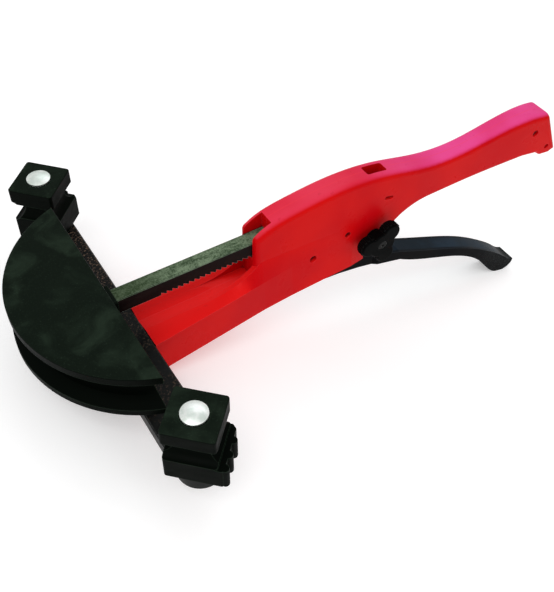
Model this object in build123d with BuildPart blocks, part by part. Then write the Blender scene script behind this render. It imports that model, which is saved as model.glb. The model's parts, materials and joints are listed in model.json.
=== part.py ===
from build123d import *
from math import cos, radians, sin
import os

# Manual ratchet tube bender, in millimetres.
# Origin: midway between the two guide block pins, at the height of the tube's centre.
# +X: the way the former advances.  +Y: the release knob's side.  +Z: up.

# ---------------------------------------------------------------- tube and bend
TUBE_OD = 22.0
GROOVE_R = TUBE_OD / 2 + 0.15
BEND_R = 96.0
PIN_Y = 139.0
BLOCK_ANGLE = 46.0
BLOCK_TO_TUBE = 25.4

# ---------------------------------------------------------------- former
FORMER_X = (PIN_Y * sin(radians(BLOCK_ANGLE)) - BEND_R - BLOCK_TO_TUBE) / cos(radians(BLOCK_ANGLE))
FORMER_R = BEND_R + TUBE_OD / 2
FORMER_TOP = 22.4
FORMER_BOTTOM = -21.5
FORMER_HALF_ARC = 71.0
FORMER_EDGE_OPEN = 15.1
CHORD_X = FORMER_X + FORMER_R * cos(radians(FORMER_HALF_ARC))
HUB_LENGTH = 6.5
HUB_HALF = 11.0
HUB_TOP = 8.4
HUB_BOTTOM = -13.0
SOCKET_DEPTH = 30.0
FORMER_SCREW_X = CHORD_X + 17.0
FORMER_SCREW_R = 3.0

# ---------------------------------------------------------------- rack
RACK_HALF = 7.0
RACK_TOP = 6.2
RACK_BOTTOM = -8.2
RACK_REAR = -235.0
RACK_FRONT = CHORD_X + SOCKET_DEPTH - 0.5
TOOTH_PITCH = 5.0
TOOTH_DEPTH = 2.5
TOOTH_LAND = 1.2
TOOTH_COUNT = 37
FIRST_TOOTH_X = -40.0
STOP_PIN_X = -230.0
STOP_PIN_Z = -1.0
STOP_PIN_R = 2.0
STOP_PIN_HALF = 8.6

# ---------------------------------------------------------------- crossbar and pins
BAR_WIDTH = 37.0
BAR_CENTRE_X = -1.5
BAR_TOP = -33.0
BAR_BOTTOM = -46.0
PIN_R = 6.0
RUNNING_FIT = 0.05
BAR_BOLT_Y = 16.0
BAR_BOLT_R = 4.0
WASHER_R = 8.0
WASHER_THICK = 1.6
BOLT_HEAD_HIGH = 5.3
BOLT_ACROSS_FLATS = 13.0
BAR_NUT_HIGH = 6.5

# ---------------------------------------------------------------- guide blocks
BLOCK_HALF = 19.8
BLOCK_TOP = 22.8
BLOCK_BOTTOM = -30.5
LIP_Z = 11.3
FOOT_END = 24.3
FOOT_RIB_R = 3.2
FOOT_RIB_OFFSETS = [7.0, -5.0, -16.0]
BLOCK_CORNER_R = 2.5
FOOT_CUT = 4.5
BUSH_R = 7.5
HEAD_R = 10.0
HEAD_RECESS_R = 10.8
HEAD_RECESS_Z = 21.8
CLEAR = 0.3
SPACER_R = 12.0

# ---------------------------------------------------------------- housing
BODY_HALF = 12.7
CAVITY_HALF = 9.2
JAW_X = -124.0
SLOT_END_X = -142.0
CAVITY_FRONT = -146.0
CAVITY_REAR = -286.0
CAVITY_TOP = 8.8
BELLY_Z = -67.0
FLOOR_Z = -63.0
FOLD_Z = -33.0
TONGUE_FRONT = -20.3
POCKET_HALF = 7.8
SHELF_FRONT = 15.0
SHELF_HALF = 32.0
EDGE_R = 3.0
TOP_EDGE_R = 6.0
JAW_CORNER_R = 5.0
SCREW_HEAD_FLOOR = 8.0
SCREWS_XZ = [(-182.0, -36.0), (-433.0, 1.0)]
SCREW_R = 2.0
SCREW_HEAD_R = 3.4
NUT_HALF_FLATS = 3.5
HANG_HOLE_XZ = (-454.0, -22.0)
HANG_HOLE_R = 2.75

# ---------------------------------------------------------------- lever and pawls
LEVER_PIVOT = (-205.0, -52.0)
LEVER_PIN_R = 4.0
LEVER_BUSH_R = 6.0
LEVER_ROOT_HALF = 8.0
LEVER_GRIP_HALF = 10.5
PAWL_HALF = 4.0
DRIVE_PAWL_PIVOT = (-205.0, -26.0)
DRIVE_PIN_R = 2.5
HOLD_PAWL_PIVOT = (-219.0, -26.0)
HOLD_PIN_R = 3.0
RELEASE_AXIS = (-248.0, -41.0)
SHAFT_R = 4.0
KNOB_HUB_Y = 13.3
KNOB_INNER_Y = 18.8
KNOB_OUTER_Y = 28.5
KNOB_SCREW_Y = 25.5
KNOB_LOBES = 3
KNOB_PHASE = 10.0
LOBE_R = 9.0
LOBE_OFFSET = 13.5
KNOB_RIB_R = 0.9
KNOB_SCREW_R = 2.0
KNOB_RIB_STEP = 11.5

os.makedirs("parts", exist_ok=True)


def side_plane(y):
    """Plane at this Y, local x along +X and local y along +Z; extruding goes towards -Y."""
    return Plane.XZ.offset(-y)


def save(part, name):
    part.label = name
    export_step(part, f"parts/{name}.step")


def round_bar(centre, radius, y_low, y_high):
    """Cylinder along Y between two Y values."""
    with BuildPart() as bar:
        with BuildSketch(side_plane(y_high)):
            with Locations(centre):
                Circle(radius)
        extrude(amount=y_high - y_low)
    return bar.part


# ================================================================ housing shells
def housing_outline():
    """Side view of the grip and ratchet body."""
    top = [(JAW_X, 12), (-131, 17), (-164, 26), (-213, 30), (-256, 26), (-300, 16), (-343, 13)]
    back = [(-378, 17), (-410, 20.6), (-446, 18.2)]
    Spline(*top, *back)
    Polyline((-446, 18.2), (-467, -28.5), (-460, -32), (-448.5, -31), (-442, -26), (-424, -23.4))
    Line((-424, -23.4), (-310, -23))
    Spline((-310, -23), (-292, -25.4), (-272.5, -36), tangents=((1, 0), (0.75, -0.72)))
    Polyline((-272.5, -36), (-239, BELLY_Z), (JAW_X, BELLY_Z), (JAW_X, 12))


def housing_plan():
    """Plan view of the upper body, waisted at the grip and rounded at the jaw."""
    Polyline((-480, 15.2), (-480, 0), (JAW_X, 0), (JAW_X, BODY_HALF - JAW_CORNER_R))
    RadiusArc(
        (JAW_X, BODY_HALF - JAW_CORNER_R), (JAW_X - JAW_CORNER_R, BODY_HALF), -JAW_CORNER_R
    )
    Line((JAW_X - JAW_CORNER_R, BODY_HALF), (-270, BODY_HALF))
    waist = [(-270, BODY_HALF), (-365, 11.6), (-440, 13.8), (-480, 15.2)]
    Spline(*waist, tangents=((-1, 0), (-1, 0.05)))


# Half-widths of the flare that runs from the crossbar back along the ratchet body: place along X,
# half-width at the bottom, half-width at the fold.
FLARE_WIDTHS = [
    (TONGUE_FRONT, 32.5, 32.0), (-98, 23.2, 22.8), (-130, 19.3, 18.4), (-160, 17.2, 14.8),
    (-195, 15.8, 13.7), (-225, 14.8, 13.2), (-240, 12.6, 12.6),
]
RAMP_FRONT = -70.0
RAMP_REAR = -130.0
RAMP_RISE = 20.0
RAMP_STEPS = 12
VALLEY_DEPTH = 2.5


def flare_half_width(x, column):
    """Half-width of the flare at x, in line between its given places."""
    for front, rear in zip(FLARE_WIDTHS, FLARE_WIDTHS[1:]):
        if x >= rear[0]:
            share = (front[0] - x) / (front[0] - rear[0])
            return front[column] + share * (rear[column] - front[column])
    return FLARE_WIDTHS[-1][column]


def flare_profile(x):
    """Cross-section of the near half of the flare: floor, flank, fold, ramp up to the jaw, valley."""
    along_ramp = min(max((RAMP_FRONT - x) / (RAMP_FRONT - RAMP_REAR), 0), 1)
    inner_z = FOLD_Z + RAMP_RISE * along_ramp**3
    valley_z = inner_z - VALLEY_DEPTH * (1 - along_ramp)
    Polyline(
        (0, BELLY_Z), (flare_half_width(x, 1), BELLY_Z), (flare_half_width(x, 2), FOLD_Z),
        (BODY_HALF - 0.2, inner_z), (0, valley_z), close=True,
    )


def flare():
    """Tongue and belly of the near shell, lofted through the flare's cross-sections."""
    ramp_step = (RAMP_REAR - RAMP_FRONT) / RAMP_STEPS
    on_ramp = [RAMP_FRONT + ramp_step * i for i in range(RAMP_STEPS)]
    behind_ramp = [x for x, *widths in FLARE_WIDTHS if x <= RAMP_REAR]
    with BuildPart() as body:
        for x in [TONGUE_FRONT, *on_ramp, *behind_ramp]:
            with BuildSketch(Plane.YZ.offset(x)):
                with BuildLine():
                    flare_profile(x)
                make_face()
        loft(ruled=True)
    return body.part


def cavity_outline():
    """Side view of the ratchet chamber."""
    Polyline(
        (CAVITY_FRONT, CAVITY_TOP), (CAVITY_REAR, CAVITY_TOP), (CAVITY_REAR, -15), (-276, -20),
        (-266, -33), (-238, -60), (-236, FLOOR_Z), (-152, FLOOR_Z), (CAVITY_FRONT, -58),
        close=True,
    )


def shell_outside():
    """Outer form of the near shell, from the split plane out to +Y."""
    with BuildPart() as outside:
        with BuildSketch(side_plane(20)):
            with BuildLine():
                housing_outline()
            make_face()
        extrude(amount=20)
        with BuildSketch(Plane.XY.offset(-80)):
            with BuildLine():
                housing_plan()
            make_face()
        extrude(amount=120, mode=Mode.INTERSECT)
        outer_faces = outside.faces().filter_by(lambda f: f.center().Y > 10)
        rims = outer_faces.edges().filter_by(Axis.Z, reverse=True)
        fillet(rims.filter_by(lambda e: e.center().Z > 10), TOP_EDGE_R)
        lower_faces = outside.faces().filter_by(lambda f: f.center().Y > 10)
        lower_rims = lower_faces.edges().filter_by(Axis.Z, reverse=True)
        fillet(lower_rims.filter_by(lambda e: e.center().Z < 5), EDGE_R)
        add(flare())
        with BuildSketch(Plane.XY.offset(BELLY_Z)):
            with Locations(((SHELF_FRONT + TONGUE_FRONT) / 2 - 1, SHELF_HALF / 2)):
                Rectangle(SHELF_FRONT - TONGUE_FRONT + 2, SHELF_HALF)
        extrude(amount=BAR_BOTTOM - BELLY_Z)
    return outside.part


def housing_shell():
    """Near shell with its chamber, channels and bores, without the screw recesses."""
    with BuildPart() as shell:
        add(shell_outside())
        with BuildSketch(side_plane(CAVITY_HALF)):
            with BuildLine():
                cavity_outline()
            make_face()
        extrude(amount=CAVITY_HALF, mode=Mode.SUBTRACT)
        # screw boss inside the chamber, short of the middle where the drive pawl's spring passes
        with BuildSketch(side_plane(CAVITY_HALF + 1)):
            with Locations(SCREWS_XZ[0]):
                Circle(6)
        extrude(amount=CAVITY_HALF + 1 - PAWL_HALF)
        # stop rib that the rack's cross pin meets
        with BuildSketch(side_plane(CAVITY_HALF + 1)):
            with Locations((STOP_PIN_X + STOP_PIN_R + CLEAR + 2, STOP_PIN_Z)):
                Rectangle(4, 14)
        extrude(amount=CAVITY_HALF + 1 - RACK_HALF - 0.5)
        # jaw slot, open at the top, then the tunnel into the chamber
        with BuildSketch(side_plane(RACK_HALF + 0.4)):
            with Locations(((JAW_X + SLOT_END_X) / 2 + 2, 15)):
                Rectangle(JAW_X - SLOT_END_X + 4, 52)
            with Locations((SLOT_END_X, -1)):
                Rectangle(12, RACK_TOP - RACK_BOTTOM + 1.2)
        extrude(amount=RACK_HALF + 0.4, mode=Mode.SUBTRACT)
        # channel for the rack inside the grip, with a groove for its cross pin
        with BuildSketch(side_plane(RACK_HALF + 0.4)):
            with Locations((CAVITY_REAR - 26, -1)):
                Rectangle(56, RACK_TOP - RACK_BOTTOM + 1.2)
        extrude(amount=RACK_HALF + 0.4, mode=Mode.SUBTRACT)
        with BuildSketch(side_plane(STOP_PIN_HALF + 0.4)):
            with Locations((CAVITY_REAR - 23, STOP_PIN_Z)):
                Rectangle(50, 2 * STOP_PIN_R + 1)
        extrude(amount=STOP_PIN_HALF + 0.4, mode=Mode.SUBTRACT)
        # hollow butt of the grip
        with BuildSketch(side_plane(7)):
            with Locations((-385, -1)):
                RectangleRounded(68, 26, 4)
        extrude(amount=7, mode=Mode.SUBTRACT)
        # slot for the lever, open below
        with BuildSketch(side_plane(LEVER_ROOT_HALF + 0.8)):
            with BuildLine():
                Polyline((-197, -80), (-197, -58), (-238, -50), (-258, -49), (-258, -80), close=True)
            make_face()
        extrude(amount=LEVER_ROOT_HALF + 0.8, mode=Mode.SUBTRACT)
        # pocket in the top of the tongue, under the rack
        with BuildSketch(side_plane(POCKET_HALF)):
            with Locations(((JAW_X + TONGUE_FRONT) / 2, FOLD_Z + 14)):
                Rectangle(TONGUE_FRONT - JAW_X, 30)
        extrude(amount=POCKET_HALF, mode=Mode.SUBTRACT)
        # sight window over the rack channel
        with BuildSketch(Plane.XY.offset(CAVITY_TOP - 1)):
            with Locations((-250, 0)):
                RectangleRounded(21, 11, 2)
        extrude(amount=30, mode=Mode.SUBTRACT)
        # access slot to the stop pin, in the side wall
        with BuildSketch(side_plane(20)):
            with Locations((-261, -1.9)):
                SlotOverall(10, 4, rotation=14)
        extrude(amount=20 - CAVITY_HALF + 1, mode=Mode.SUBTRACT)
        # pin bores: the lever's is blind, the holding pawl's shows outside
        with BuildSketch(side_plane(12.1)):
            with Locations(LEVER_PIVOT):
                Circle(LEVER_PIN_R)
        extrude(amount=12.1, mode=Mode.SUBTRACT)
        with BuildSketch(side_plane(20)):
            with Locations(HOLD_PAWL_PIVOT):
                Circle(HOLD_PIN_R)
            with Locations(HANG_HOLE_XZ):
                Circle(HANG_HOLE_R)
        extrude(amount=20, mode=Mode.SUBTRACT)
        # screw shank holes, crossbar bolt hole and its nut pocket
        with BuildSketch(side_plane(20)):
            with Locations(*SCREWS_XZ):
                Circle(SCREW_R)
        extrude(amount=20, mode=Mode.SUBTRACT)
        with BuildSketch(Plane.XY.offset(BELLY_Z)):
            with Locations((0, BAR_BOLT_Y)):
                Circle(BAR_BOLT_R + 0.2)
        extrude(amount=40, mode=Mode.SUBTRACT)
        with BuildSketch(Plane.XY.offset(BELLY_Z)):
            with Locations((0, BAR_BOLT_Y)):
                RegularPolygon(BOLT_ACROSS_FLATS / 2 + 0.1, 6, major_radius=False)
        extrude(amount=8, mode=Mode.SUBTRACT)
    return shell.part


common_shell = housing_shell()

with BuildPart() as housing_near:
    add(common_shell)
    with BuildSketch(side_plane(20)):
        with Locations(*SCREWS_XZ):
            Circle(SCREW_HEAD_R + 0.2)
    extrude(amount=20 - SCREW_HEAD_FLOOR, mode=Mode.SUBTRACT)
    with BuildSketch(side_plane(20)):
        with Locations(RELEASE_AXIS):
            Circle(SHAFT_R + 1.5)
    extrude(amount=12, mode=Mode.SUBTRACT)
save(housing_near.part, "housing_near")

with BuildPart() as housing_far:
    add(common_shell.mirror(Plane.XZ))
    with BuildSketch(side_plane(-SCREW_HEAD_FLOOR)):
        with Locations(*SCREWS_XZ):
            RegularPolygon(NUT_HALF_FLATS + 0.1, 6, major_radius=False)
    extrude(amount=12, mode=Mode.SUBTRACT)
    with BuildSketch(side_plane(0)):
        with Locations(RELEASE_AXIS):
            Circle(SHAFT_R + RUNNING_FIT)
    extrude(amount=11.5, mode=Mode.SUBTRACT)
save(housing_far.part, "housing_far")

with BuildPart() as housing_screws:
    with BuildSketch(side_plane(SCREW_HEAD_FLOOR)):
        with Locations(*SCREWS_XZ):
            Circle(SCREW_R)
    extrude(amount=SCREW_HEAD_FLOOR * 2 + 3)
    with BuildSketch(side_plane(SCREW_HEAD_FLOOR + 2.6)):
        with Locations(*SCREWS_XZ):
            Circle(SCREW_HEAD_R)
    extrude(amount=2.6)
    with BuildSketch(side_plane(SCREW_HEAD_FLOOR + 2.6)):
        with Locations(*SCREWS_XZ):
            RegularPolygon(1.25, 6, major_radius=False)
    extrude(amount=1.6, mode=Mode.SUBTRACT)
save(housing_screws.part, "housing_screws")

with BuildPart() as housing_nuts:
    with BuildSketch(side_plane(-SCREW_HEAD_FLOOR)):
        with Locations(*SCREWS_XZ):
            RegularPolygon(NUT_HALF_FLATS, 6, major_radius=False)
            Circle(SCREW_R, mode=Mode.SUBTRACT)
    extrude(amount=3.2)
save(housing_nuts.part, "housing_nuts")

# ================================================================ crossbar
with BuildPart() as crossbar:
    with BuildSketch(Plane.XY.offset(BAR_BOTTOM)):
        with Locations((BAR_CENTRE_X, 0)):
            SlotCenterToCenter(2 * PIN_Y, BAR_WIDTH, rotation=90)
        with Locations((0, PIN_Y), (0, -PIN_Y)):
            Circle(PIN_R + RUNNING_FIT, mode=Mode.SUBTRACT)
        with Locations((0, BAR_BOLT_Y), (0, -BAR_BOLT_Y)):
            Circle(BAR_BOLT_R + 0.2, mode=Mode.SUBTRACT)
    extrude(amount=BAR_TOP - BAR_BOTTOM)
    rim_edges = crossbar.edges().filter_by(lambda e: e.length > 50)
    chamfer(rim_edges, 1.0)
save(crossbar.part, "crossbar")

BOLT_PLACES = [(0, BAR_BOLT_Y), (0, -BAR_BOLT_Y)]
WASHER_TOP = BAR_TOP + WASHER_THICK

with BuildPart() as crossbar_washers:
    with BuildSketch(Plane.XY.offset(BAR_TOP)):
        with Locations(*BOLT_PLACES):
            Circle(WASHER_R)
            Circle(BAR_BOLT_R + 0.2, mode=Mode.SUBTRACT)
    extrude(amount=WASHER_THICK)
save(crossbar_washers.part, "crossbar_washers")

with BuildPart() as crossbar_bolts:
    with BuildSketch(Plane.XY.offset(BELLY_Z + 0.8)):
        with Locations(*BOLT_PLACES):
            Circle(BAR_BOLT_R)
    extrude(amount=WASHER_TOP - BELLY_Z - 0.8)
    with BuildSketch(Plane.XY.offset(WASHER_TOP)):
        with Locations(*BOLT_PLACES):
            RegularPolygon(BOLT_ACROSS_FLATS / 2, 6, major_radius=False)
    extrude(amount=BOLT_HEAD_HIGH)
save(crossbar_bolts.part, "crossbar_bolts")

with BuildPart() as crossbar_nuts:
    with BuildSketch(Plane.XY.offset(BELLY_Z + 8 - BAR_NUT_HIGH)):
        with Locations(*BOLT_PLACES):
            RegularPolygon(BOLT_ACROSS_FLATS / 2, 6, major_radius=False)
            Circle(BAR_BOLT_R, mode=Mode.SUBTRACT)
    extrude(amount=BAR_NUT_HIGH)
save(crossbar_nuts.part, "crossbar_nuts")


# ================================================================ guide blocks
def block_plane(z):
    """Plane on the near pin: local x along the tube away from the former, local y towards the tube."""
    turn = radians(BLOCK_ANGLE)
    along_tube = (-sin(turn), cos(turn), 0)
    return Plane(origin=(0, PIN_Y, z), x_dir=along_tube, z_dir=(0, 0, 1))


def guide_block():
    """Swivelling block with a groove for a different tube size on each side."""
    base = block_plane(0)
    reach = 3 * BLOCK_HALF
    # side of the block, groove axis distance from the pin, groove radius
    grooves = [
        (base.y_dir, BLOCK_TO_TUBE, GROOVE_R),
        (-base.y_dir, BLOCK_HALF + 1.0, 10.2),
        (base.x_dir, BLOCK_HALF + 1.0, 8.2),
        (-base.x_dir, BLOCK_HALF + 1.0, 7.7),
    ]
    with BuildPart() as block:
        with BuildSketch(block_plane(BLOCK_BOTTOM)):
            with Locations(((FOOT_END - BLOCK_HALF) / 2, 0)):
                RectangleRounded(FOOT_END + BLOCK_HALF, 2 * BLOCK_HALF, BLOCK_CORNER_R)
            with Locations(*[(FOOT_END, offset) for offset in FOOT_RIB_OFFSETS]):
                Circle(FOOT_RIB_R)
            with Locations((FOOT_END + FOOT_RIB_R, BLOCK_HALF)):
                Rectangle(2 * FOOT_CUT, 2 * FOOT_CUT, rotation=45, mode=Mode.SUBTRACT)
        extrude(amount=-BLOCK_BOTTOM - LIP_Z)
        with BuildSketch(block_plane(BLOCK_BOTTOM)):
            RectangleRounded(2 * BLOCK_HALF, 2 * BLOCK_HALF, BLOCK_CORNER_R)
        extrude(amount=BLOCK_TOP - BLOCK_BOTTOM)
        lip_edges = block.faces().sort_by(Axis.Z)[-1].edges()
        fillet(lip_edges, 1.2)
        for side, distance, radius in grooves:
            across = side.cross(base.z_dir)
            with BuildSketch(Plane(origin=base.origin + side * distance - across * reach, z_dir=across)):
                Circle(radius)
            extrude(amount=2 * reach, mode=Mode.SUBTRACT)
        with BuildSketch(block_plane(BLOCK_BOTTOM)):
            Circle(BUSH_R)
        extrude(amount=BLOCK_TOP - BLOCK_BOTTOM, mode=Mode.SUBTRACT)
        with BuildSketch(block_plane(HEAD_RECESS_Z)):
            Circle(HEAD_RECESS_R)
        extrude(amount=5, mode=Mode.SUBTRACT)
    return block.part


def block_bush():
    with BuildPart() as bush:
        with BuildSketch(block_plane(BLOCK_BOTTOM)):
            Circle(BUSH_R)
            Circle(PIN_R + RUNNING_FIT, mode=Mode.SUBTRACT)
        extrude(amount=HEAD_RECESS_Z - BLOCK_BOTTOM)
    return bush.part


def block_spacer():
    """Fixed collar between the crossbar and the block."""
    with BuildPart() as spacer:
        with BuildSketch(block_plane(BAR_TOP)):
            Circle(SPACER_R)
            Circle(PIN_R + RUNNING_FIT, mode=Mode.SUBTRACT)
        extrude(amount=BLOCK_BOTTOM - CLEAR - BAR_TOP)
        chamfer(spacer.faces().sort_by(Axis.Z)[-1].edges().sort_by(SortBy.RADIUS)[-1], 0.8)
    return spacer.part


DOME_HIGH = 2.3
DETENT_Z = -41.0
DETENT_R = 1.5
DETENT_OFFSET = PIN_R - DETENT_R


def plug_pin():
    """Pull-out pin with a domed head and a pocket for its detent ball."""
    head_low = HEAD_RECESS_Z + CLEAR
    dome_low = head_low + 2.2
    dome_radius = (HEAD_R**2 + DOME_HIGH**2) / (2 * DOME_HIGH)
    with BuildPart() as pin:
        with BuildSketch(Plane(origin=(0, PIN_Y, 0), x_dir=(1, 0, 0), z_dir=(0, -1, 0))):
            with BuildLine():
                Polyline(
                    (0, BAR_BOTTOM - 2), (PIN_R - 1.5, BAR_BOTTOM - 2), (PIN_R, BAR_BOTTOM - 0.5),
                    (PIN_R, head_low), (HEAD_R - 0.6, head_low), (HEAD_R, head_low + 0.6),
                    (HEAD_R, dome_low),
                )
                RadiusArc((HEAD_R, dome_low), (0, dome_low + DOME_HIGH), -dome_radius)
                Line((0, dome_low + DOME_HIGH), (0, BAR_BOTTOM - 2))
            make_face()
        revolve(axis=Axis((0, PIN_Y, 0), (0, 0, 1)))
        with BuildSketch(Plane(origin=(DETENT_OFFSET - 2, PIN_Y, DETENT_Z), z_dir=(1, 0, 0))):
            Circle(DETENT_R)
        extrude(amount=4, mode=Mode.SUBTRACT)
    return pin.part


def detent_ball():
    with BuildPart(Plane(origin=(DETENT_OFFSET, PIN_Y, DETENT_Z))) as ball:
        Sphere(DETENT_R)
    return ball.part


PAIRED = {
    "guide_block": guide_block(),
    "block_bush": block_bush(),
    "block_spacer": block_spacer(),
    "plug_pin": plug_pin(),
    "detent_ball": detent_ball(),
}
for piece_name, near_piece in PAIRED.items():
    save(near_piece, f"near_{piece_name}")
    save(near_piece.mirror(Plane.XZ), f"far_{piece_name}")

# ================================================================ rack and former
with BuildPart() as rack:
    with BuildSketch(side_plane(RACK_HALF)):
        with BuildLine():
            teeth = [(FIRST_TOOTH_X, RACK_BOTTOM)]
            for i in range(TOOTH_COUNT):
                front = FIRST_TOOTH_X - i * TOOTH_PITCH
                rear = front - TOOTH_PITCH
                teeth.append((front, RACK_BOTTOM + TOOTH_DEPTH))
                teeth.append((rear + TOOTH_LAND, RACK_BOTTOM))
                teeth.append((rear, RACK_BOTTOM))
            ends = [(RACK_REAR, RACK_BOTTOM), (RACK_REAR, RACK_TOP), (RACK_FRONT, RACK_TOP)]
            Polyline(*teeth, *ends, (RACK_FRONT, RACK_BOTTOM), close=True)
        make_face()
    extrude(amount=2 * RACK_HALF)
    top_edges = rack.edges().filter_by(Axis.X).filter_by(lambda e: e.center().Z > RACK_TOP - 0.1)
    chamfer(top_edges, 0.8)
    with BuildSketch(side_plane(RACK_HALF)):
        with Locations((STOP_PIN_X, STOP_PIN_Z)):
            Circle(STOP_PIN_R)
    extrude(amount=2 * RACK_HALF, mode=Mode.SUBTRACT)
    with BuildSketch(Plane.XY.offset(RACK_BOTTOM)):
        with Locations((FORMER_SCREW_X, 0)):
            Circle(FORMER_SCREW_R)
    extrude(amount=8, mode=Mode.SUBTRACT)
save(rack.part, "rack")

with BuildPart() as former:
    with BuildSketch(Plane.XY.offset(FORMER_BOTTOM)):
        with BuildLine():
            half_chord = FORMER_R * sin(radians(FORMER_HALF_ARC))
            ThreePointArc((CHORD_X, -half_chord), (FORMER_X + FORMER_R, 0), (CHORD_X, half_chord))
            Line((CHORD_X, half_chord), (CHORD_X, -half_chord))
        make_face()
    extrude(amount=FORMER_TOP - FORMER_BOTTOM)
    flat_faces = former.faces().filter_by(Axis.Z)
    fillet(flat_faces.edges(), 1.2)
    with BuildSketch(Plane(origin=(FORMER_X, 0, 0), x_dir=(1, 0, 0), z_dir=(0, -1, 0))):
        with Locations((BEND_R, 0)):
            Circle(GROOVE_R)
        with BuildLine():
            Polyline(
                (BEND_R, -GROOVE_R), (FORMER_R, -FORMER_EDGE_OPEN), (FORMER_R + 5, -FORMER_EDGE_OPEN - 1),
                (FORMER_R + 5, FORMER_EDGE_OPEN + 1), (FORMER_R, FORMER_EDGE_OPEN), (BEND_R, GROOVE_R),
                close=True,
            )
        make_face()
    revolve(axis=Axis((FORMER_X, 0, 0), (0, 0, 1)), mode=Mode.SUBTRACT)
    # hub round the rack at the back, then the rack's socket through it
    with BuildSketch(Plane.YZ.offset(CHORD_X - HUB_LENGTH)):
        with Locations((0, (HUB_TOP + HUB_BOTTOM) / 2)):
            RectangleRounded(2 * HUB_HALF, HUB_TOP - HUB_BOTTOM, 1.5)
    extrude(amount=HUB_LENGTH + 1)
    with BuildSketch(Plane.YZ.offset(CHORD_X - HUB_LENGTH)):
        with Locations((0, (RACK_TOP + RACK_BOTTOM) / 2)):
            Rectangle(2 * RACK_HALF + 0.2, RACK_TOP - RACK_BOTTOM + 0.2)
    extrude(amount=HUB_LENGTH + SOCKET_DEPTH, mode=Mode.SUBTRACT)
    with BuildSketch(Plane.XY.offset(FORMER_BOTTOM)):
        with Locations((FORMER_SCREW_X, 0)):
            Circle(FORMER_SCREW_R + 0.2)
    extrude(amount=15, mode=Mode.SUBTRACT)
    with BuildSketch(Plane.XY.offset(FORMER_BOTTOM)):
        with Locations((FORMER_SCREW_X, 0)):
            Circle(5.6)
    extrude(amount=6.5, mode=Mode.SUBTRACT)
save(former.part, "former")

with BuildPart() as former_screw:
    with BuildSketch(Plane.XY.offset(FORMER_BOTTOM + 0.5)):
        with Locations((FORMER_SCREW_X, 0)):
            Circle(5.0)
            RegularPolygon(2.5, 6, major_radius=False, mode=Mode.SUBTRACT)
    extrude(amount=3)
    with BuildSketch(Plane.XY.offset(FORMER_BOTTOM + 3.5)):
        with Locations((FORMER_SCREW_X, 0)):
            Circle(5.0)
    extrude(amount=3)
    with BuildSketch(Plane.XY.offset(FORMER_BOTTOM + 6.5)):
        with Locations((FORMER_SCREW_X, 0)):
            Circle(FORMER_SCREW_R)
    extrude(amount=RACK_BOTTOM + 7 - FORMER_BOTTOM - 6.5)
save(former_screw.part, "former_screw")

save(round_bar((STOP_PIN_X, STOP_PIN_Z), STOP_PIN_R, -STOP_PIN_HALF, STOP_PIN_HALF), "rack_stop_pin")

with BuildPart() as rack_wear_strip:
    with BuildSketch(Plane.XY.offset(RACK_TOP + CLEAR)):
        with Locations(((CAVITY_FRONT - 236) / 2, 0)):
            Rectangle(CAVITY_FRONT + 236, 14)
    extrude(amount=CAVITY_TOP - RACK_TOP - CLEAR)
save(rack_wear_strip.part, "rack_wear_strip")


# ================================================================ lever
def lever_outline():
    """Side view of the lever: clevis, nose over the return spring, arm and down-turned tip."""
    Polyline((-211, -26), (-211, -42), (-214, -52), (-219, -62), (-245, -70.5), (-263, -75.5), (-288, -84.5))
    upper_edge = [(-288, -84.5), (-342, -109), (-387, -131), (-424, -155.5), (-446, -173.5), (-453, -180)]
    Spline(*upper_edge, (-462.5, -185.5))
    Spline((-462.5, -185.5), (-461, -191.5), (-449, -196.5), (-436, -192), (-425, -182), (-405, -158))
    Spline((-405, -158), (-391, -146), (-345, -122), (-290, -96))
    Polyline((-290, -96), (-265, -89), (-240, -83), (-217, -79), (-201, -77.5), (-198.2, -74), (-198.2, -54))
    Polyline((-198.2, -54), (-188, -50), (-188, -47), (-196, -44), (-199, -38), (-199, -26))
    ThreePointArc((-199, -26), (-205, -20), (-211, -26))


with BuildPart() as lever:
    with BuildSketch(side_plane(LEVER_GRIP_HALF)):
        with BuildLine():
            lever_outline()
        make_face()
    extrude(amount=2 * LEVER_GRIP_HALF)
    # the root is narrow enough to enter the housing and widens behind it
    with BuildSketch(Plane.XY):
        with BuildLine():
            Polyline(
                (-180, LEVER_ROOT_HALF), (-256, LEVER_ROOT_HALF), (-264, LEVER_GRIP_HALF + 1),
                (-180, LEVER_GRIP_HALF + 1), close=True,
            )
        make_face()
        mirror(about=Plane.XZ)
    extrude(amount=-220, mode=Mode.SUBTRACT)
    # clevis slot for the drive pawl
    with BuildSketch(side_plane(PAWL_HALF + CLEAR)):
        with Locations((-205, -28)):
            Rectangle(24, 20)
    extrude(amount=2 * (PAWL_HALF + CLEAR), mode=Mode.SUBTRACT)
    with BuildSketch(side_plane(20)):
        with Locations(LEVER_PIVOT):
            Circle(LEVER_BUSH_R)
        with Locations(DRIVE_PAWL_PIVOT):
            Circle(DRIVE_PIN_R)
    extrude(amount=40, mode=Mode.SUBTRACT)
save(lever.part, "lever")

with BuildPart() as lever_bush:
    with BuildSketch(side_plane(LEVER_ROOT_HALF + 0.6)):
        with Locations(LEVER_PIVOT):
            Circle(LEVER_BUSH_R)
            Circle(LEVER_PIN_R + RUNNING_FIT, mode=Mode.SUBTRACT)
    extrude(amount=2 * LEVER_ROOT_HALF + 1.2)
save(lever_bush.part, "lever_bush")

save(round_bar(LEVER_PIVOT, LEVER_PIN_R, -12.0, 12.0), "lever_pivot_pin")
save(round_bar(DRIVE_PAWL_PIVOT, DRIVE_PIN_R, -LEVER_ROOT_HALF, LEVER_ROOT_HALF), "drive_pawl_pin")
save(round_bar(HOLD_PAWL_PIVOT, HOLD_PIN_R, -10.0, 10.0), "holding_pawl_pin")


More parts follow.
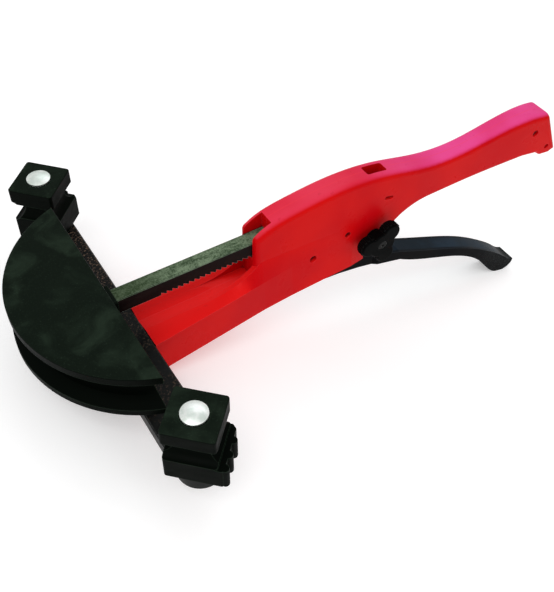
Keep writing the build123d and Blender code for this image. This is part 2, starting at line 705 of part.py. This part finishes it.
# ================================================================ pawls
def pawl(pivot, outline, pin_radius):
    """Flat pawl: a round eye at the pivot joined to an arm outline."""
    with BuildPart() as body:
        with BuildSketch(side_plane(PAWL_HALF)):
            with BuildLine():
                Polyline(*outline, close=True)
            make_face()
            with Locations(pivot):
                Circle(5)
                Circle(pin_radius + RUNNING_FIT, mode=Mode.SUBTRACT)
        extrude(amount=2 * PAWL_HALF)
    return body.part


DRIVE_TIP_Z = RACK_BOTTOM - 0.7
save(
    pawl(
        DRIVE_PAWL_PIVOT,
        [(-209, -23), (-196, DRIVE_TIP_Z), (-191, DRIVE_TIP_Z), (-192.5, -14), (-201, -29)],
        DRIVE_PIN_R,
    ),
    "drive_pawl",
)
save(
    pawl(
        HOLD_PAWL_PIVOT,
        [(-222.5, -22.5), (-215, DRIVE_TIP_Z), (-209.5, DRIVE_TIP_Z), (-211, -14), (-214.5, -28),
         (-219, -31), (-234, -33.5), (-238, -30.5), (-236, -27.5)],
        HOLD_PIN_R,
    ),
    "holding_pawl",
)


# ================================================================ springs
def coil(centre_line, start, radius, wire, pitch, turns):
    """Round wire coil along a direction from a start point."""
    with BuildPart() as spring:
        with BuildLine() as path:
            Helix(pitch=pitch, height=pitch * turns, radius=radius, center=start, direction=centre_line)
        with BuildSketch(Plane(origin=path.line @ 0, z_dir=path.line % 0)):
            Circle(wire / 2)
        sweep()
    return spring.part


save(
    coil((0, 0, 1), (-193, 0, FLOOR_Z + 0.6), 3.2, 1.0, 2.1, 4),
    "lever_return_spring",
)
save(
    coil((0, 1, 0), (HOLD_PAWL_PIVOT[0], PAWL_HALF + 1, HOLD_PAWL_PIVOT[1]), 4.0, 1.0, 1.15, 3),
    "holding_pawl_spring",
)

with BuildPart() as drive_pawl_spring:
    with BuildSketch(side_plane(3)):
        with BuildLine():
            Polyline(
                (-209, -38), (-197.5, -38), (-194.2, -30), (-193.8, -20), (-194.4, -20), (-194.9, -30),
                (-198, -37.4), (-209, -37.4), close=True,
            )
        make_face()
    extrude(amount=6)
save(drive_pawl_spring.part, "drive_pawl_spring")

# ================================================================ release knob
with BuildPart() as release_shaft:
    with BuildSketch(side_plane(KNOB_SCREW_Y)):
        with Locations(RELEASE_AXIS):
            Circle(SHAFT_R)
            Circle(KNOB_SCREW_R, mode=Mode.SUBTRACT)
    extrude(amount=KNOB_SCREW_Y - 12)
    with BuildSketch(side_plane(12)):
        with Locations(RELEASE_AXIS):
            Circle(SHAFT_R)
    extrude(amount=23)
    with BuildSketch(side_plane(PAWL_HALF)):
        with Locations(RELEASE_AXIS):
            Circle(6)
        finger_tip = (RELEASE_AXIS[0] + 12.8, RELEASE_AXIS[1] - 2.3)
        with BuildLine():
            Polyline(
                (RELEASE_AXIS[0], RELEASE_AXIS[1] + 5.5), (finger_tip[0], finger_tip[1] + 2.5),
                (finger_tip[0], finger_tip[1] - 2.5), (RELEASE_AXIS[0], RELEASE_AXIS[1] - 5.5), close=True,
            )
        make_face()
        with Locations(finger_tip):
            Circle(2.5)
    extrude(amount=2 * PAWL_HALF)
save(release_shaft.part, "release_shaft")

with BuildPart() as shaft_bush:
    with BuildSketch(side_plane(13.0)):
        with Locations(RELEASE_AXIS):
            Circle(SHAFT_R + 1.5)
            Circle(SHAFT_R + RUNNING_FIT, mode=Mode.SUBTRACT)
    extrude(amount=4.5)
save(shaft_bush.part, "shaft_bush")

with BuildPart() as release_knob:
    with BuildSketch(side_plane(KNOB_OUTER_Y)):
        with Locations(RELEASE_AXIS):
            Circle(LOBE_OFFSET)
            with PolarLocations(LOBE_OFFSET, KNOB_LOBES, start_angle=KNOB_PHASE):
                Circle(LOBE_R)
    extrude(amount=KNOB_OUTER_Y - KNOB_INNER_Y)
    fillet(release_knob.edges().filter_by(GeomType.CIRCLE), 1.4)
    # grip ribs round the end of each lobe
    with BuildSketch(side_plane(KNOB_OUTER_Y - 2)):
        with Locations(RELEASE_AXIS):
            with PolarLocations(LOBE_OFFSET, KNOB_LOBES, start_angle=KNOB_PHASE):
                for step in range(-4, 5):
                    with PolarLocations(LOBE_R, 1, start_angle=2 * step * KNOB_RIB_STEP):
                        Circle(KNOB_RIB_R)
    extrude(amount=KNOB_OUTER_Y - KNOB_INNER_Y - 4)
    # round neck towards the housing
    with BuildSketch(side_plane(KNOB_INNER_Y + 1)):
        with Locations(RELEASE_AXIS):
            Circle(SHAFT_R + 4)
    extrude(amount=KNOB_INNER_Y + 1 - KNOB_HUB_Y)
    with BuildSketch(side_plane(KNOB_OUTER_Y)):
        with Locations(RELEASE_AXIS):
            Circle(5)
    extrude(amount=KNOB_OUTER_Y - KNOB_SCREW_Y, mode=Mode.SUBTRACT)
    with BuildSketch(side_plane(KNOB_OUTER_Y)):
        with Locations(RELEASE_AXIS):
            Circle(SHAFT_R)
    extrude(amount=KNOB_OUTER_Y - KNOB_HUB_Y, mode=Mode.SUBTRACT)
save(release_knob.part, "release_knob")

SCREW_CAP_HIGH = 2.4

with BuildPart() as knob_screw:
    with BuildSketch(side_plane(KNOB_SCREW_Y + SCREW_CAP_HIGH)):
        with Locations(RELEASE_AXIS):
            Circle(4.4)
    extrude(amount=SCREW_CAP_HIGH)
    with BuildSketch(side_plane(KNOB_SCREW_Y)):
        with Locations(RELEASE_AXIS):
            Circle(KNOB_SCREW_R)
    extrude(amount=8)
    with BuildSketch(side_plane(KNOB_SCREW_Y + SCREW_CAP_HIGH)):
        with Locations(RELEASE_AXIS):
            RegularPolygon(1.5, 6, major_radius=False)
    extrude(amount=1.4, mode=Mode.SUBTRACT)
save(knob_screw.part, "knob_screw")
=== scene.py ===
import json
import math

import bpy
from mathutils import Matrix, Vector


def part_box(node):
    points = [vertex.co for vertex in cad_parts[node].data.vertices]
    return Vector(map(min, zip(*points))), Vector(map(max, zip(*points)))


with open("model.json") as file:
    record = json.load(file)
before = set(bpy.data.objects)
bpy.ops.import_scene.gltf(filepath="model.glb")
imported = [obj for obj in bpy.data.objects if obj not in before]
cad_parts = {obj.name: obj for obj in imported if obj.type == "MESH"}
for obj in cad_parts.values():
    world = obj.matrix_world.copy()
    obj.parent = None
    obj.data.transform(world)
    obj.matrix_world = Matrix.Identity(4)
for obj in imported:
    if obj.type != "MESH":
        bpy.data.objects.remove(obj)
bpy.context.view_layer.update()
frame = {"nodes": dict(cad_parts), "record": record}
nodes = frame["nodes"]

# ---------------------------------------------------------------- camera
EYE = Vector((0.13215, 0.43391, 0.49922))
YAW, PITCH, ROLL = (math.radians(a) for a in (-121.74, -47.81, 0.55))
LENS, SENSOR = 52.0, 36.0
SHIFT_X, SHIFT_Y = 0.0290, -0.0098
CLIP_NEAR, CLIP_FAR = 0.01, 20


def make_camera():
    level = Vector((math.cos(YAW), math.sin(YAW), 0))
    ahead = math.cos(PITCH) * level + Vector((0, 0, math.sin(PITCH)))
    right = ahead.cross(Vector((0, 0, 1))).normalized()
    up = right.cross(ahead)
    side = math.cos(ROLL) * right + math.sin(ROLL) * up
    top = -math.sin(ROLL) * right + math.cos(ROLL) * up
    data = bpy.data.cameras.new("camera")
    data.lens, data.sensor_width = LENS, SENSOR
    data.shift_x, data.shift_y = SHIFT_X, SHIFT_Y
    data.clip_start, data.clip_end = CLIP_NEAR, CLIP_FAR
    camera = bpy.data.objects.new("camera", data)
    bpy.context.scene.collection.objects.link(camera)
    turn = Matrix((side, top, -ahead)).transposed().to_4x4()
    camera.matrix_world = Matrix.Translation(EYE) @ turn
    bpy.context.scene.camera = camera


# ---------------------------------------------------------------- stage
FLOOR_SIZE = 12.0
FLOOR_DROP = 0.0006
LEVER_HEEL = 0.011
FLOOR_WHITE = (0.80, 0.80, 0.80, 1)
FLOOR_GLOW = 0.36
WORLD_STRENGTH = 0.70


def make_floor():
    """A floor under the tongue's front edge and the lever's tip, which the tool lies on."""
    tongue_low, tongue_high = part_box("housing_near")
    lever_low, lever_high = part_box("lever")
    front = Vector((tongue_high.x, 0, tongue_low.z))
    rear = Vector((lever_low.x + LEVER_HEEL, 0, lever_low.z))
    along = (front - rear).normalized()
    across = Vector((0, 1, 0))
    centre = (front + rear) / 2 - along.cross(across) * FLOOR_DROP
    half = FLOOR_SIZE / 2
    signs = ((-1, -1), (1, -1), (1, 1), (-1, 1))
    corners = [centre + along * half * a + across * half * b for a, b in signs]
    mesh = bpy.data.meshes.new("floor")
    mesh.from_pydata(corners, [], [(0, 1, 2, 3)])
    floor = bpy.data.objects.new("floor", mesh)
    bpy.context.scene.collection.objects.link(floor)
    material = bpy.data.materials.new("floor")
    material.use_nodes = True
    shader = material.node_tree.nodes["Principled BSDF"]
    shader.inputs["Base Color"].default_value = FLOOR_WHITE
    shader.inputs["Roughness"].default_value = 0.95
    shader.inputs["Specular IOR Level"].default_value = 0.1
    shader.inputs["Emission Color"].default_value = (1, 1, 1, 1)
    shader.inputs["Emission Strength"].default_value = FLOOR_GLOW
    mesh.materials.append(material)


def area_light(name, place, aim, size, power, colour=(1, 1, 1)):
    data = bpy.data.lights.new(name, "AREA")
    data.shape, data.size, data.size_y = "RECTANGLE", size[0], size[1]
    data.energy, data.color = power, colour
    light = bpy.data.objects.new(name, data)
    bpy.context.scene.collection.objects.link(light)
    light.location = place
    light.rotation_mode = "QUATERNION"
    light.rotation_quaternion = (Vector(aim) - Vector(place)).to_track_quat("-Z", "Y")


def make_lights():
    world = bpy.data.worlds.new("studio")
    bpy.context.scene.world = world
    world.use_nodes = True
    background = world.node_tree.nodes["Background"]
    background.inputs["Color"].default_value = (1, 1, 1, 1)
    background.inputs["Strength"].default_value = WORLD_STRENGTH
    area_light("key", (0.7, 0.6, 1.5), (-0.1, 0, 0), (1.0, 1.0), 11)
    area_light("back", (-0.9, -0.9, 1.3), (-0.2, 0, 0), (1.6, 0.8), 4, (0.92, 0.95, 1))
    bpy.context.scene.view_settings.view_transform = "Standard"


# ---------------------------------------------------------------- node helpers
def put(tree, kind, inputs=None, **settings):
    """Adds a node, sets its attributes, and sets or links its inputs."""
    made = tree.nodes.new(kind)
    for key, value in settings.items():
        setattr(made, key, value)
    for key, value in (inputs or {}).items():
        if isinstance(value, bpy.types.NodeSocket):
            tree.links.new(value, made.inputs[key])
        else:
            made.inputs[key].default_value = value
    return made


def noise(tree, scale, detail=3.0, roughness=0.5, stretch=(1, 1, 1), distortion=0.0):
    """Noise in the piece's own space, in features per metre."""
    place = put(tree, "ShaderNodeTexCoord").outputs["Object"]
    mapping = put(tree, "ShaderNodeMapping", {"Vector": place, "Scale": stretch})
    made = put(tree, "ShaderNodeTexNoise", {
        "Vector": mapping.outputs["Vector"], "Scale": scale, "Detail": detail,
        "Roughness": roughness, "Distortion": distortion,
    })
    return made.outputs["Fac"]


def spread(tree, value, low, high, to_low=0.0, to_high=1.0):
    """Maps a range of a value smoothly to another range."""
    made = put(tree, "ShaderNodeMapRange", {
        "Value": value, "From Min": low, "From Max": high, "To Min": to_low, "To Max": to_high,
    }, interpolation_type="SMOOTHSTEP")
    return made.outputs["Result"]


def calc(tree, operation, a, b):
    return put(tree, "ShaderNodeMath", {0: a, 1: b}, operation=operation).outputs[0]


def times(tree, a, b):
    return calc(tree, "MULTIPLY", a, b)


def blend_colour(tree, factor, first, second):
    made = put(tree, "ShaderNodeMix", {0: factor}, data_type="RGBA")
    for slot, value in ((6, first), (7, second)):
        if isinstance(value, bpy.types.NodeSocket):
            tree.links.new(value, made.inputs[slot])
        else:
            made.inputs[slot].default_value = (*value, 1)
    return made.outputs[2]


def mottled(tree, field, low, high, first, second):
    """One colour turning to another as a field rises from low to high."""
    return blend_colour(tree, spread(tree, field, low, high), first, second)


def normal_part(tree, axis):
    """One component of the surface normal, in the piece's own space."""
    normal = put(tree, "ShaderNodeTexCoord").outputs["Normal"]
    return put(tree, "ShaderNodeSeparateXYZ", {0: normal}).outputs[axis]


def position_part(tree, axis):
    """One coordinate in the piece's own space, in metres."""
    place = put(tree, "ShaderNodeTexCoord").outputs["Object"]
    return put(tree, "ShaderNodeSeparateXYZ", {0: place}).outputs[axis]


def place_fade(tree, axis, limits):
    """0 at the first place along an axis, 1 at the second."""
    return spread(tree, position_part(tree, axis), *limits)


EDGE_NONE, EDGE_FULL = 0.995, 0.86


def edge_mask(tree, radius):
    """1 along convex and concave edges, 0 on flat and gently curved faces."""
    rounded = put(tree, "ShaderNodeBevel", {"Radius": radius}, samples=6).outputs["Normal"]
    true_normal = put(tree, "ShaderNodeNewGeometry").outputs["Normal"]
    pair = {0: rounded, 1: true_normal}
    turned = put(tree, "ShaderNodeVectorMath", pair, operation="DOT_PRODUCT").outputs["Value"]
    return spread(tree, turned, EDGE_NONE, EDGE_FULL)


def bump(tree, height, strength, distance, under=None):
    inputs = {"Height": height, "Strength": strength, "Distance": distance}
    if under is not None:
        inputs["Normal"] = under
    return put(tree, "ShaderNodeBump", inputs).outputs["Normal"]


def new_material(name):
    material = bpy.data.materials.new(name)
    material.use_nodes = True
    return material, material.node_tree


def finish_material(material, colour, roughness, normal, fixed):
    """Links the worked-out inputs to the shader and sets the fixed ones on its own sockets."""
    tree = material.node_tree
    shader = tree.nodes["Principled BSDF"]
    tree.links.new(colour, shader.inputs["Base Color"])
    tree.links.new(roughness, shader.inputs["Roughness"])
    tree.links.new(normal, shader.inputs["Normal"])
    for key, value in fixed.items():
        shader.inputs[key].default_value = value
    return material


# ---------------------------------------------------------------- materials
# Places where a look changes, in metres in the piece's own space.
GRIP_X = (-0.21, -0.33)
CROWN_Z = (0.002, 0.014)
PAINTED_LIGHT_Z = (0.004, 0.010)
LEVER_TIP_X = (-0.385, -0.425)
LEVER_END_X = (-0.440, -0.448)
LEVER_RIM_Y = (0.0062, 0.0092)
CHIPPED_Y = (-0.020, -0.060)
RACK_FRONT_X = (-0.060, -0.022)
HOLE_REACH = 0.006


def housing_paint():
    """Glossy red enamel: upward faces painted lighter, with a painted pink sheen that grows
    towards the grip; a painted highlight on the edges; patches of grime; painted shade in the
    holes.
    """
    material, tree = new_material("housing_paint")
    cloud = noise(tree, 14, 3)
    # Painted light: faces turned up get a painted pink sheen that grows from the hump towards
    # the grip, and a painted lighter red below the crown. Faces turned sideways keep the plain
    # red.
    side = mottled(tree, cloud, 0.35, 0.7, (0.55, 0.001, 0.004), (0.64, 0.003, 0.003))
    hump = mottled(tree, cloud, 0.3, 0.7, (0.66, 0.014, 0.034), (0.74, 0.034, 0.075))
    grip = mottled(tree, cloud, 0.3, 0.7, (0.74, 0.040, 0.180), (0.82, 0.070, 0.290))
    top = blend_colour(tree, place_fade(tree, "X", GRIP_X), hump, grip)
    top = blend_colour(tree, place_fade(tree, "Z", CROWN_Z), (0.86, 0.010, 0.010), top)
    colour = mottled(tree, normal_part(tree, "Z"), 0.50, 0.97, side, top)
    # Painted highlight: edges lightened to a brighter red.
    edges = times(tree, edge_mask(tree, 0.0012), 0.35)
    colour = blend_colour(tree, edges, colour, (0.86, 0.05, 0.06))
    grime = spread(tree, noise(tree, 160, 4, 0.7), 0.62, 0.74, 0.0, 0.25)
    colour = blend_colour(tree, grime, colour, (0.38, 0.006, 0.010))
    # Painted shade: holes, slots and recesses darkened towards a near-black red.
    openness = put(tree, "ShaderNodeAmbientOcclusion", {"Distance": HOLE_REACH}, samples=8)
    painted_hole_shade = spread(tree, openness.outputs["AO"], 0.42, 0.16, 0.0, 0.9)
    colour = blend_colour(tree, painted_hole_shade, colour, (0.060, 0.002, 0.004))
    roughness = spread(tree, noise(tree, 45, 5, 0.6), 0.3, 0.75, 0.26, 0.42)
    peel = bump(tree, noise(tree, 420, 2), 0.10, 0.0003)
    normal = bump(tree, noise(tree, 2600, 2), 0.05, 0.0001, peel)
    return finish_material(material, colour, roughness, normal, {"Specular IOR Level": 0.045})


SHADED_SIDE = 0.3
RUBBED_EDGE = 2.2


def moulded(name, dark, pale, rough_low, rough_high, grain=1700.0):
    """Satin black moulded polymer: fine grain, faint flow smears, rubbed edges; paler on top by
    painted light, with painted shade on the side and low faces.
    """
    material, tree = new_material(name)
    rubbed_colour = tuple(RUBBED_EDGE * c for c in pale)
    shaded_colour = tuple(SHADED_SIDE * c for c in dark)
    smear = noise(tree, 30, 4, 0.6, (1, 1, 2.5), 0.8)
    fleck = spread(tree, noise(tree, 900, 2, 0.7), 0.60, 0.72, 0.0, 0.35)
    colour = mottled(tree, smear, 0.42, 0.78, dark, pale)
    colour = blend_colour(tree, fleck, colour, rubbed_colour)
    # Painted light and shade: high faces turned up keep the pale mottle, while side and low
    # faces take a painted shaded copy of the dark colour.
    above = place_fade(tree, "Z", PAINTED_LIGHT_Z)
    painted_light_mask = times(tree, spread(tree, normal_part(tree, "Z"), 0.3, 0.8), above)
    colour = blend_colour(tree, painted_light_mask, shaded_colour, colour)
    rubbed = times(tree, edge_mask(tree, 0.0009), 0.5)
    colour = blend_colour(tree, rubbed, colour, rubbed_colour)
    roughness = spread(tree, smear, 0.3, 0.75, rough_low, rough_high)
    broad = bump(tree, noise(tree, 120, 3), 0.10, 0.0005)
    normal = bump(tree, noise(tree, grain, 3), 0.30, 0.00015, broad)
    return finish_material(material, colour, roughness, normal, {"Specular IOR Level": 0.018})


def lever_black():
    """Satin black arm: a painted cool sheen down the middle of its upper face, coarse grain at
    its tip.
    """
    material, tree = new_material("lever_black")
    drift = noise(tree, 26, 4, 0.6, (1, 1, 1), 0.5)
    tip = place_fade(tree, "X", LEVER_TIP_X)
    # Painted sheen: faces turned up get a cool navy-grey, kept to the middle by a darker rim and
    # dimmed at the end; sides stay near-black.
    side = mottled(tree, drift, 0.35, 0.75, (0.0008, 0.0009, 0.0012), (0.0025, 0.003, 0.004))
    top = mottled(tree, drift, 0.35, 0.75, (0.004, 0.011, 0.018), (0.016, 0.030, 0.046))
    off_middle = calc(tree, "ABSOLUTE", position_part(tree, "Y"), 0.0)
    rim = times(tree, spread(tree, off_middle, *LEVER_RIM_Y), 0.75)
    top = blend_colour(tree, rim, top, (0.0015, 0.002, 0.003))
    top = blend_colour(tree, place_fade(tree, "X", LEVER_END_X), top, (0.004, 0.006, 0.006))
    colour = mottled(tree, normal_part(tree, "Z"), 0.25, 0.8, side, top)
    speck = times(tree, tip, spread(tree, noise(tree, 520, 3, 0.7), 0.52, 0.64))
    colour = blend_colour(tree, times(tree, speck, 0.20), colour, (0.05, 0.06, 0.06))
    worn = times(tree, edge_mask(tree, 0.0010), 0.35)
    colour = blend_colour(tree, worn, colour, (0.045, 0.055, 0.065))
    roughness = spread(tree, drift, 0.3, 0.75, 0.34, 0.52)
    coarse = bump(tree, times(tree, noise(tree, 480, 3, 0.65), tip), 0.5, 0.0008)
    normal = bump(tree, noise(tree, 1500, 3), 0.22, 0.00015, coarse)
    return finish_material(material, colour, roughness, normal, {"Specular IOR Level": 0.020})


def black_steel():
    """Black oxide bar stock: worn edges, and rust-brown specks, thickest on the far half."""
    material, tree = new_material("black_steel")
    drift = noise(tree, 38, 5, 0.65, (1, 1, 1), 0.4)
    colour = mottled(tree, drift, 0.35, 0.8, (0.004, 0.0045, 0.0045), (0.016, 0.017, 0.016))
    patch = spread(tree, noise(tree, 45, 3), 0.45, 0.62, 0.0, 0.45)
    chipped = calc(tree, "MAXIMUM", patch, place_fade(tree, "Y", CHIPPED_Y))
    speck = times(tree, chipped, spread(tree, noise(tree, 480, 4, 0.75), 0.53, 0.62))
    colour = blend_colour(tree, times(tree, speck, 0.85), colour, (0.190, 0.125, 0.085))
    wear = spread(tree, noise(tree, 220, 4), 0.35, 0.6, 0.15, 0.75)
    worn = times(tree, edge_mask(tree, 0.0010), wear)
    colour = blend_colour(tree, worn, colour, (0.15, 0.15, 0.145))
    roughness = spread(tree, drift, 0.3, 0.75, 0.33, 0.55)
    pits = bump(tree, noise(tree, 700, 4, 0.75), 0.25, 0.0003)
    normal = bump(tree, noise(tree, 160, 3), 0.12, 0.0006, pits)
    fixed = {"Metallic": 0.05, "Specular IOR Level": 0.06}
    return finish_material(material, colour, roughness, normal, fixed)


def rack_steel():
    """Toothed bar: black oxide sides, upper face painted with a mottled grey-green sheen over
    rub marks.
    """
    material, tree = new_material("rack_steel")
    mottle = noise(tree, 130, 5, 0.7, (0.45, 1, 1), 0.6)
    coarse, fine = times(tree, mottle, 0.55), times(tree, noise(tree, 620, 4, 0.7), 0.45)
    flecks = calc(tree, "ADD", coarse, fine)
    # Painted sheen: the upper face is coloured a mottled grey-green, darker towards the front
    # end.
    top = mottled(tree, flecks, 0.40, 0.60, (0.032, 0.056, 0.026), (0.165, 0.225, 0.140))
    front = times(tree, place_fade(tree, "X", RACK_FRONT_X), 0.6)
    top = blend_colour(tree, front, top, (0.022, 0.038, 0.014))
    side = mottled(tree, mottle, 0.4, 0.75, (0.005, 0.0022, 0.002), (0.014, 0.008, 0.007))
    colour = mottled(tree, normal_part(tree, "Z"), 0.35, 0.8, side, top)
    worn = times(tree, edge_mask(tree, 0.0007), 0.55)
    colour = blend_colour(tree, worn, colour, (0.28, 0.33, 0.29))
    roughness = spread(tree, mottle, 0.3, 0.7, 0.34, 0.6)
    rub = bump(tree, noise(tree, 350, 3, 0.6, (0.1, 1, 1)), 0.15, 0.0002)
    normal = bump(tree, mottle, 0.12, 0.0003, rub)
    fixed = {"Metallic": 0.05, "Specular IOR Level": 0.04}
    return finish_material(material, colour, roughness, normal, fixed)


def bright_metal(name, dark, pale, rough_low, rough_high, stretch=(1, 1, 1)):
    """Bare or plated metal with a fine lay and small stains."""
    material, tree = new_material(name)
    lay = noise(tree, 900, 4, 0.6, stretch)
    stain = noise(tree, 130, 4, 0.6)
    colour = mottled(tree, stain, 0.35, 0.7, dark, pale)
    roughness = spread(tree, lay, 0.3, 0.7, rough_low, rough_high)
    scuffs = bump(tree, noise(tree, 260, 3, 0.6), 0.04, 0.0003)
    normal = bump(tree, lay, 0.03, 0.0001, scuffs)
    return finish_material(material, colour, roughness, normal, {"Metallic": 1.0})


def wear_polymer():
    """Natural acetal: creamy, with rub marks along its length."""
    material, tree = new_material("wear_polymer")
    rub = noise(tree, 300, 3, 0.6, (0.08, 1, 1))
    colour = mottled(tree, rub, 0.35, 0.7, (0.60, 0.57, 0.48), (0.74, 0.72, 0.64))
    roughness = spread(tree, rub, 0.3, 0.7, 0.35, 0.55)
    normal = bump(tree, rub, 0.15, 0.0002)
    return finish_material(material, colour, roughness, normal, {})


# Moulded polymers: dark and pale colour, lowest and highest roughness, grain per metre.
POLYMERS = {
    "moulded_black": ((0.0045, 0.0080, 0.0050), (0.0150, 0.0250, 0.0160), 0.40, 0.58, 1700.0),
    "knob_black": ((0.0040, 0.0045, 0.0045), (0.0120, 0.0130, 0.0130), 0.42, 0.56, 2200.0),
}
# Bright metals: dark and pale colour, lowest and highest roughness, stretch of the lay.
METALS = {
    "bright_zinc": ((0.72, 0.80, 0.74), (0.95, 0.97, 0.94), 0.36, 0.50, (1, 1, 1)),
    "hard_steel": ((0.30, 0.30, 0.30), (0.50, 0.50, 0.49), 0.22, 0.38, (1, 0.1, 1)),
    "bronze": ((0.42, 0.27, 0.12), (0.62, 0.42, 0.22), 0.30, 0.48, (1, 1, 1)),
    "spring_steel": ((0.20, 0.20, 0.21), (0.36, 0.36, 0.37), 0.22, 0.34, (1, 1, 1)),
}


def all_looks():
    looks = {
        "housing_paint": housing_paint(),
        "lever_black": lever_black(),
        "black_steel": black_steel(),
        "rack_steel": rack_steel(),
        "wear_polymer": wear_polymer(),
    }
    looks.update({name: moulded(name, *look) for name, look in POLYMERS.items()})
    looks.update({name: bright_metal(name, *look) for name, look in METALS.items()})
    return looks


def paint_nodes():
    looks = all_looks()
    for row in frame["record"]["subparts"]:
        piece = nodes[row["node"]]
        piece.data.materials.clear()
        piece.data.materials.append(looks[row["material_slot"]])


make_camera()
make_floor()
make_lights()
paint_nodes()
